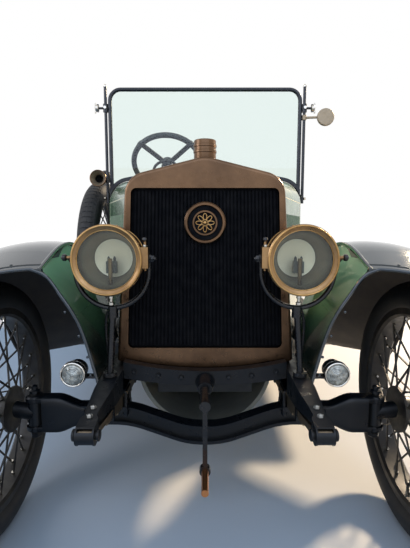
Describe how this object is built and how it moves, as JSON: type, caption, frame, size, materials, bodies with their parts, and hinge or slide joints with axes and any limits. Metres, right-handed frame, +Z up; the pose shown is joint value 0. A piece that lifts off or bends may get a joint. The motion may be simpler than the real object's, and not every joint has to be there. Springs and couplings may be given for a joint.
{
  "type": "open two-seat motor car",
  "caption": "Early open two-seater with wire wheels, gabled brass radiator, drum headlamps, flat screen, side spare and a rounded tail; steering, doors, lids and starting handle move.",
  "frame": {"origin": "on the ground at the centre of the whole car's plan", "axes": "-Y is forward, +X is the car's left side, +Z is up; the car stands on its four tyres"},
  "size_m": [1.415, 3.2169, 1.462],
  "materials": {
    "body_paint": "gloss light and dark green coachwork enamel",
    "brass": "polished brass with a brown tarnish in the hollows",
    "core_black": "matt black enamel on thin tubes",
    "black_enamel": "gloss stove enamel",
    "chassis_paint": "semi-gloss dark green-black paint, dusty",
    "screen_paint": "gloss blue-black enamel",
    "bare_steel": "oiled steel",
    "nickel": "polished nickel plate",
    "iron": "painted cast iron",
    "pan_grey": "dull olive-grey sheet",
    "tyre_rubber": "smooth black rubber",
    "wheel_enamel": "dark stove enamel on spokes and rim",
    "glass": "clear flat glass",
    "leather": "deep buttoned brown hide",
    "hood_cloth": "folded proofed canvas",
    "wood": "varnished hardwood",
    "board_cover": "ribbed mat with a metal edge"
  },
  "bodies": {
    "chassis": {"frame": "chassis_paint", "front_crossmember": "black_enamel", "front_axle": "chassis_paint", "front_springs": "bare_steel", "rear_springs": "bare_steel", "rear_axle": "chassis_paint", "engine": "iron", "undertray": "pan_grey", "exhaust": "bare_steel", "radiator_shell": "brass", "radiator_core": "core_black", "radiator_cap": "brass", "radiator_badge": "brass", "headlamps": "brass", "headlamp_glass": "glass", "lamp_brackets": "black_enamel", "side_lamps": "black_enamel", "valance_left": "body_paint", "valance_right": "body_paint", "bonnet_rod": "nickel", "scuttle": "body_paint", "dashboard": "wood", "body_tub": "body_paint", "floor": "wood", "seat_box": "wood", "seat_cushion": "leather", "seat_back": "leather", "windscreen_frame": "screen_paint", "windscreen_glass": "glass", "mirror": "nickel", "horn": "brass", "steering_column": "black_enamel", "front_wings": "body_paint", "rear_wings": "body_paint", "running_boards": "board_cover", "folded_hood": "hood_cloth", "pedals": "bare_steel", "wheel_spare": "wheel_enamel", "tyre_spare": "tyre_rubber"},
    "knuckle_left": {"knuckle_left": "chassis_paint"},
    "knuckle_right": {"knuckle_right": "chassis_paint"},
    "tie_rod": {"tie_rod": "chassis_paint"},
    "steering_wheel": {"steering_wheel": "black_enamel"},
    "door_left": {"door_left": "body_paint"},
    "boot_lid": {"boot_lid": "body_paint"},
    "bonnet_left": {"bonnet_left": "body_paint"},
    "bonnet_right": {"bonnet_right": "body_paint"},
    "crank": {"crank": "black_enamel"},
    "road_wheel_front_left": {"wheel_front_left": "wheel_enamel", "tyre_front_left": "tyre_rubber"},
    "road_wheel_front_right": {"wheel_front_right": "wheel_enamel", "tyre_front_right": "tyre_rubber"},
    "road_wheel_rear_left": {"wheel_rear_left": "wheel_enamel", "tyre_rear_left": "tyre_rubber"},
    "road_wheel_rear_right": {"wheel_rear_right": "wheel_enamel", "tyre_rear_right": "tyre_rubber"}
  },
  "joints": [
    {"name": "steer_right", "type": "hinge", "parent": "chassis", "child": "knuckle_right", "pos_m": [-0.47, -1.262, 0.345], "axis": [0, 0, 1], "range_deg": [-25, 25]},
    {"name": "steer_left", "type": "hinge", "parent": "chassis", "child": "knuckle_left", "pos_m": [0.47, -1.262, 0.345], "axis": [0, 0, 1], "range_deg": [-25, 25]},
    {"name": "track_rod_pivot", "type": "hinge", "parent": "knuckle_right", "child": "tie_rod", "pos_m": [-0.47, -1.142, 0.257], "axis": [0, 0, 1], "range_deg": [-25, 25]},
    {"name": "steering_wheel_turn", "type": "hinge", "parent": "chassis", "child": "steering_wheel", "pos_m": [-0.182, -0.297, 1.16], "axis": [0, 0.6947, 0.7193], "range_deg": [-225, 225]},
    {"name": "spin_front_left", "type": "hinge", "parent": "knuckle_left", "child": "road_wheel_front_left", "pos_m": [0.59, -1.262, 0.355], "axis": [1, 0, 0], "continuous": true},
    {"name": "spin_front_right", "type": "hinge", "parent": "knuckle_right", "child": "road_wheel_front_right", "pos_m": [-0.59, -1.262, 0.355], "axis": [1, 0, 0], "continuous": true},
    {"name": "spin_rear_left", "type": "hinge", "parent": "chassis", "child": "road_wheel_rear_left", "pos_m": [0.59, 1.088, 0.355], "axis": [1, 0, 0], "continuous": true},
    {"name": "spin_rear_right", "type": "hinge", "parent": "chassis", "child": "road_wheel_rear_right", "pos_m": [-0.59, 1.088, 0.355], "axis": [1, 0, 0], "continuous": true},
    {"name": "bonnet_left_hinge", "type": "hinge", "parent": "chassis", "child": "bonnet_left", "pos_m": [0, -1.1695, 1.03507], "axis": [0, -0.9951, -0.0984], "range_deg": [0, 60]},
    {"name": "bonnet_right_hinge", "type": "hinge", "parent": "chassis", "child": "bonnet_right", "pos_m": [0, -1.1695, 1.03507], "axis": [0, 0.9951, 0.0984], "range_deg": [0, 60]},
    {"name": "door_hinge", "type": "hinge", "parent": "chassis", "child": "door_left", "pos_m": [0.438, -0.297, 0.7], "axis": [0, 0, -1], "range_deg": [0, 70]},
    {"name": "boot_lid_hinge", "type": "hinge", "parent": "chassis", "child": "boot_lid", "pos_m": [0, 0.816, 0.984], "axis": [1, 0, 0], "range_deg": [0, 55]},
    {"name": "crank_turn", "type": "hinge", "parent": "chassis", "child": "crank", "pos_m": [0, -1.362, 0.452], "axis": [0, 1, 0], "continuous": true}
  ],
  "couplings": [
    {"joint": "steer_left", "follows": "steer_right", "ratio": 1},
    {"joint": "track_rod_pivot", "follows": "steer_right", "ratio": -1},
    {"joint": "steering_wheel_turn", "follows": "steer_right", "ratio": 9}
  ]
}
